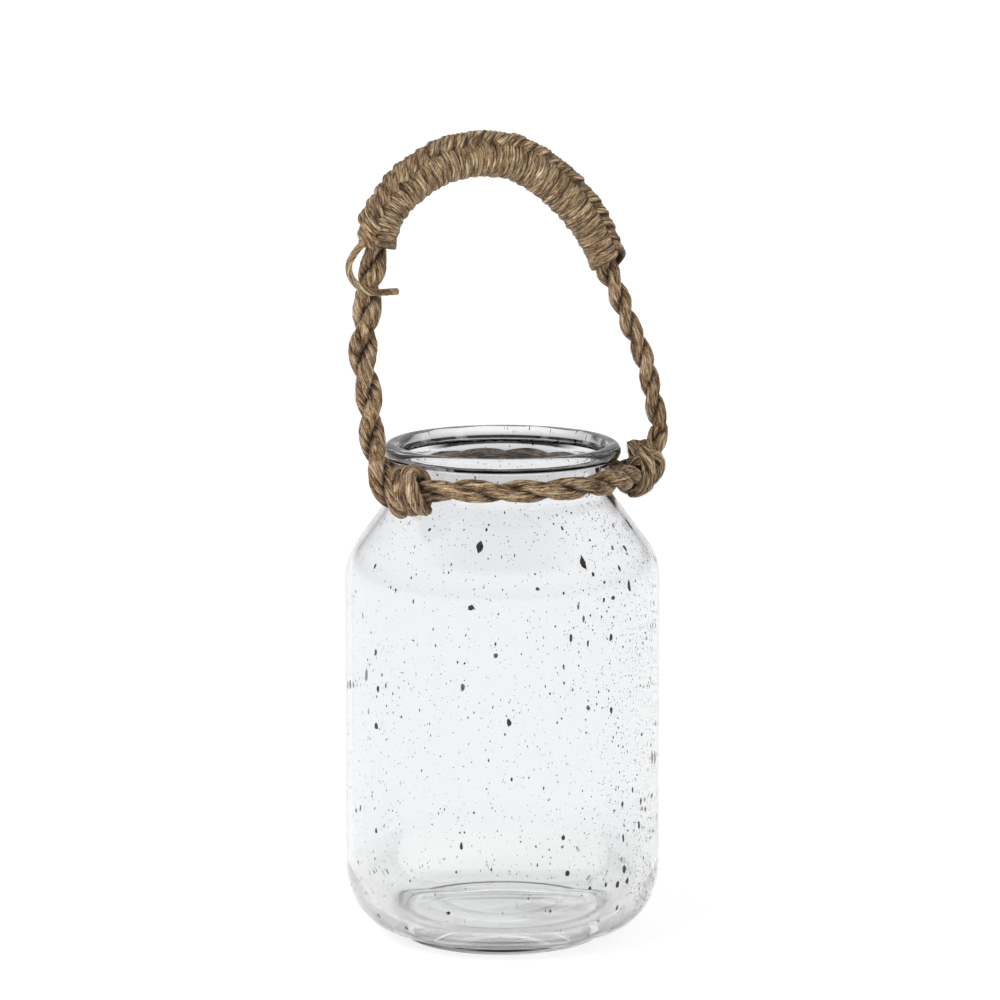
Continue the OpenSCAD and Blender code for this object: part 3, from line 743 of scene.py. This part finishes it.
def glassFinish(g):
    made, start = startMaterial("speckled glass")
    place = start.node("TexCoord", {}, {}, 3)
    height = start.node("SeparateXYZ", {}, {0: place}, 2)
    flat = start.node("VectorMath", {"operation": "MULTIPLY"}, {0: place, 1: (1, 1, 0)})
    radius = start.node("VectorMath", {"operation": "LENGTH"}, {0: flat}, 1)
    thick = 1 - height.held(*g["baseTop"])
    corner = thick * radius.held(*g["baseSide"]) * height.held(*g["baseLow"])
    colour = corner.blend(g["body"], g["base"])
    floor = height.held(*g["floorLow"]) * (1 - height.held(*g["floorHigh"]))
    swirlPlace = start.node("Mapping", {}, {"Vector": place, "Scale": g["swirl"]})
    swirl = start.node("TexNoise", {}, {"Vector": swirlPlace, "Scale": 1.0, "Detail": 3.0,
                                        "Distortion": 1.2})
    beside = start.node("SeparateXYZ", {}, {0: place})
    # painted dark reflection: a swirled dark patch on the right of the jar's floor
    smear = (floor * (1 - radius.held(*g["smearSide"])) * swirl.held(*g["smearSwirl"])
             * beside.held(*g["smearRight"]))
    # painted dark reflection: a thin swirled dark ring round the edge of the jar's floor
    edge = (floor * radius.held(*g["edgeIn"]) * (1 - radius.held(*g["edgeOut"]))
            * swirl.held(*g["edgeSwirl"]))
    colour = smear.blend(colour, g["smear"])
    # painted shade: a dark line round the outside of the foot, on the left
    foot = ((1 - height.held(*g["footTop"])) * radius.held(*g["footSide"])
            * (1 - beside.held(*g["footRight"])))
    # painted dark reflection: a swirled dark line along the lower side of the rim's bead
    under = height.held(*g["rimLow"]) * (1 - height.held(*g["rimHigh"])) * radius.held(*g["rimSide"])
    rim = under * swirl.held(*g["rimSwirl"])
    # the painted dark lines are blended to black
    colour = (edge + foot + rim).held(0, 1).blend(colour, (0.0, 0.0, 0.0, 1))
    endMaterial(start, {"Base Color": colour, "Roughness": 0.0, "IOR": 1.5,
                        "Alpha": 1 - corner * g["baseClear"], "Transmission Weight": 1.0})
    return made


def wallPoint(outline, share, angle, depth):     # a point under the outer face, by its share of the way up
    run = runOf(outline)
    at = np.interp(share * run[-1], run, outline[:, 0]), np.interp(share * run[-1], run, outline[:, 1])
    nxt = (np.interp(share * run[-1] + 0.001, run, outline[:, 0]),
           np.interp(share * run[-1] + 0.001, run, outline[:, 1]))
    way = unit(np.array(nxt) - np.array(at))
    inward = np.array([-way[1], way[0]])
    r, z = np.array(at) + inward * depth
    out = np.array([math.cos(angle), math.sin(angle), 0])
    rise = out * way[0] + np.array([0, 0, way[1]])
    side = np.array([-math.sin(angle), math.cos(angle), 0])
    return out * r + np.array([0, 0, z]), side, rise, np.cross(side, rise)


specks = dict(
    low=0.04, seed=5, crowd=(-0.5, 0.28), crowded=0.35, wide=(0.6, 1.0), tall=(0.8, 1.7),
    flat=(0.7, 0.75),                            # thickness, as a share of the width and of the depth
    kinds=[                                      # how many, their half widths, how far under the outer face
        dict(count=12, size=(0.0019, 0.0027), depth=(0.00015, 0.0002)),
        dict(count=90, size=(0.0010, 0.0018), depth=(0.00015, 0.0002)),
        dict(count=620, size=(0.00032, 0.00072), depth=(0.0005, 0.0018)),
        dict(count=4600, size=(0.00015, 0.00038), depth=(0.0005, 0.0018))])


def makeSpecks(g, outline):
    draw = random.Random(g["seed"])
    shape = bmesh.new()
    bmesh.ops.create_icosphere(shape, subdivisions=1, radius=1)
    corners = np.array([v.co[:] for v in shape.verts])
    sides = np.array([[v.index for v in f.verts] for f in shape.faces])
    shape.free()
    points, faces = [], []
    for kind in g["kinds"]:
        for k in range(kind["count"]):
            size = draw.uniform(*kind["size"])
            inCrowd = k < g["crowded"] * kind["count"]
            angle = draw.gauss(*g["crowd"]) if inCrowd else draw.uniform(-math.pi, math.pi)
            share = g["low"] + (1 - g["low"]) * draw.random()
            wide = size * draw.uniform(*g["wide"])
            tall = size * draw.uniform(*g["tall"])
            deep = draw.uniform(*kind["depth"])
            at, side, rise, out = wallPoint(outline, share, angle, deep)
            rough = np.array([draw.uniform(0.65, 1.25) for _ in corners])[:, None]
            flat = min(wide * g["flat"][0], deep * g["flat"][1])
            faces.append(sides + len(points) * len(corners))
            points.append(at + (corners[:, :1] * side * wide + corners[:, 1:2] * rise * tall
                                + corners[:, 2:] * out * flat) * rough)
    mesh = bpy.data.meshes.new("glass_specks")
    mesh.from_pydata(np.vstack(points).tolist(), [], np.vstack(faces).tolist())
    mesh.shade_smooth()
    made, start = startMaterial("dark specks")
    place = start.node("TexCoord", {}, {}, 3)
    spot = start.node("TexNoise", {}, {"Vector": place, "Scale": 90.0, "Detail": 2.0}).held(0.4, 0.65)
    colour = spot.blend(tone(7, 7, 6), tone(46, 38, 26))
    endMaterial(start, {"Base Color": colour, "Roughness": 0.6})
    mesh.materials.append(made)
    piece = bpy.data.objects.new("glass_specks", mesh)
    scene.collection.objects.link(piece)
    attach(piece, "jar")


def makeJar():
    low, outline, high = jarOutline(jar)
    n = jar["around"]
    a = np.arange(n) * 2 * math.pi / n
    r, z = outline[:, 0][:, None], outline[:, 1][:, None]
    wave = 1 + jar["uneven"] * grain(a * 3 / math.pi + 20, z / 0.05, 4) * np.clip(z / 0.05, 0, 1)
    points = np.stack([r * np.cos(a) * wave, r * np.sin(a) * wave, np.broadcast_to(z, wave.shape)], 2)
    m = len(outline)
    i, j = [x.ravel() for x in np.meshgrid(np.arange(m - 1), np.arange(n), indexing="ij")]
    beside = (j + 1) % n
    faces = np.stack([i * n + j, i * n + beside, (i + 1) * n + beside, (i + 1) * n + j], 1).tolist()
    ends = np.array([[*p, 0] for p in (low + high)])[:, [0, 2, 1]]
    faces += [[m * n, (k + 1) % n, k] for k in range(n)]
    faces += [[m * n + 1, (m - 1) * n + k, (m - 1) * n + (k + 1) % n] for k in range(n)]
    mesh = bpy.data.meshes.new("glass_jar_blown")
    mesh.from_pydata(np.vstack([points.reshape(-1, 3), ends]).tolist(), [], faces)
    mesh.shade_smooth()
    mesh.materials.append(glassFinish(glass))
    made = bpy.data.objects.new("glass_jar_blown", mesh)
    scene.collection.objects.link(made)
    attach(made, "jar")
    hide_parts("glass_jar")
    top = int(np.argmax(outline[:, 1]))
    foot = int(np.argmax(outline[:, 1] > jar["footH"] - 0.0001))
    makeSpecks(specks, outline[foot:top + 1])


makeJar()
print("jar made")

# floor, world and lights

studio = dict(keyPower=30, floorGlow=0.80, dome=[          # height of the direction, brightness
    (0.0, 0.95), (0.12, 0.50), (0.30, 0.75), (0.55, 1.05), (0.70, 1.0), (0.86, 0.03)])


def makeStudio(g):
    mesh = bpy.data.meshes.new("floor")
    mesh.from_pydata([(-20, -20, 0), (20, -20, 0), (20, 20, 0), (-20, 20, 0)], [], [(0, 1, 2, 3)])
    floor = bpy.data.objects.new("floor", mesh)
    scene.collection.objects.link(floor)
    made, start = startMaterial("pale floor")
    endMaterial(start, {"Base Color": (0.35, 0.35, 0.35, 1), "Roughness": 0.9,
                        "Emission Color": (1, 1, 1, 1), "Emission Strength": g["floorGlow"]})
    mesh.materials.append(made)
    world = bpy.data.worlds.new("studio")
    scene.world = world
    world.use_nodes = True
    world.node_tree.nodes.clear()
    start = Wire(world.node_tree)
    way = start.node("TexCoord", {}, {}, 0)
    height = start.node("SeparateXYZ", {}, {0: way}, 2)
    colour = start.node("ValToRGB", {"stops": [(z, (v, v, v, 1)) for z, v in g["dome"]]}, {0: height})
    sky = start.node("Background", {}, {"Color": colour, "Strength": 1.0})
    start.node("OutputWorld", {}, {"Surface": sky})
    lamp = bpy.data.lights.new("key", "AREA")
    lamp.size, lamp.energy = 0.8, g["keyPower"]
    key = bpy.data.objects.new("key", lamp)
    scene.collection.objects.link(key)
    key.location = (-1.2, -1.6, 1.9)
    key.visible_glossy = key.visible_transmission = False
    key.rotation_mode = "QUATERNION"
    key.rotation_quaternion = (Vector((0, 0, 0.3)) - key.location).to_track_quat("-Z", "Y")


makeStudio(studio)
scene.view_settings.view_transform = "Standard"
scene.cycles.max_bounces = 24
scene.cycles.transmission_bounces = 24
print("studio made")
